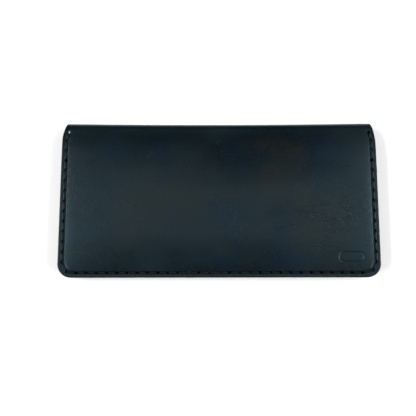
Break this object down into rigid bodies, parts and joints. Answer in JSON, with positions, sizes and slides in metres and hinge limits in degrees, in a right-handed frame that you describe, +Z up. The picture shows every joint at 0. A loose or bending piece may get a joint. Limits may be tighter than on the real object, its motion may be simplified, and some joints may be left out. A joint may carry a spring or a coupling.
{
  "type": "long bifold wallet",
  "caption": "Long bifold wallet in hand-stitched leather, closed, with a soft fold along one long side, bill panels, card pockets and slip pockets inside.",
  "frame": {"origin": "on the surface the closed wallet lies on, under the middle of its bounding box", "axes": "+X along the wallet's length, +Y towards the fold, +Z up from the back cover to the front cover"},
  "size_m": [0.19, 0.092, 0.012],
  "materials": {
    "cover_leather": "waxed, satin",
    "panel_leather": "satin",
    "pocket_leather": "satin",
    "waxed_thread": "waxed, satin"
  },
  "bodies": {
    "back_half": {"back_cover": "cover_leather", "back_bill_panel": "panel_leather", "card_pocket_left_1": "pocket_leather", "card_pocket_left_2": "pocket_leather", "card_pocket_left_3": "pocket_leather", "card_pocket_left_front": "pocket_leather", "card_pocket_right_1": "pocket_leather", "card_pocket_right_2": "pocket_leather", "card_pocket_right_3": "pocket_leather", "card_pocket_right_front": "pocket_leather", "back_seam_thread": "waxed_thread", "left_column_thread": "waxed_thread", "right_column_thread": "waxed_thread", "left_pocket_floor_thread": "waxed_thread", "right_pocket_floor_thread": "waxed_thread"},
    "spine": {"cover_fold": "cover_leather"},
    "front_half": {"front_cover": "cover_leather", "front_bill_panel": "panel_leather", "tall_slip_pocket": "pocket_leather", "low_slip_pocket": "pocket_leather", "front_seam_thread": "waxed_thread", "slip_divider_thread": "waxed_thread"}
  },
  "joints": [
    {"name": "spine_fold", "type": "hinge", "parent": "back_half", "child": "spine", "pos_m": [0, 0.04462, 0.0036], "axis": [-1, 0, 0], "range_deg": [0, 90]},
    {"name": "front_fold", "type": "hinge", "parent": "spine", "child": "front_half", "pos_m": [0, 0.04462, 0.0084], "axis": [-1, 0, 0], "range_deg": [0, 90]}
  ],
  "couplings": [
    {"joint": "front_fold", "follows": "spine_fold", "ratio": 1}
  ]
}
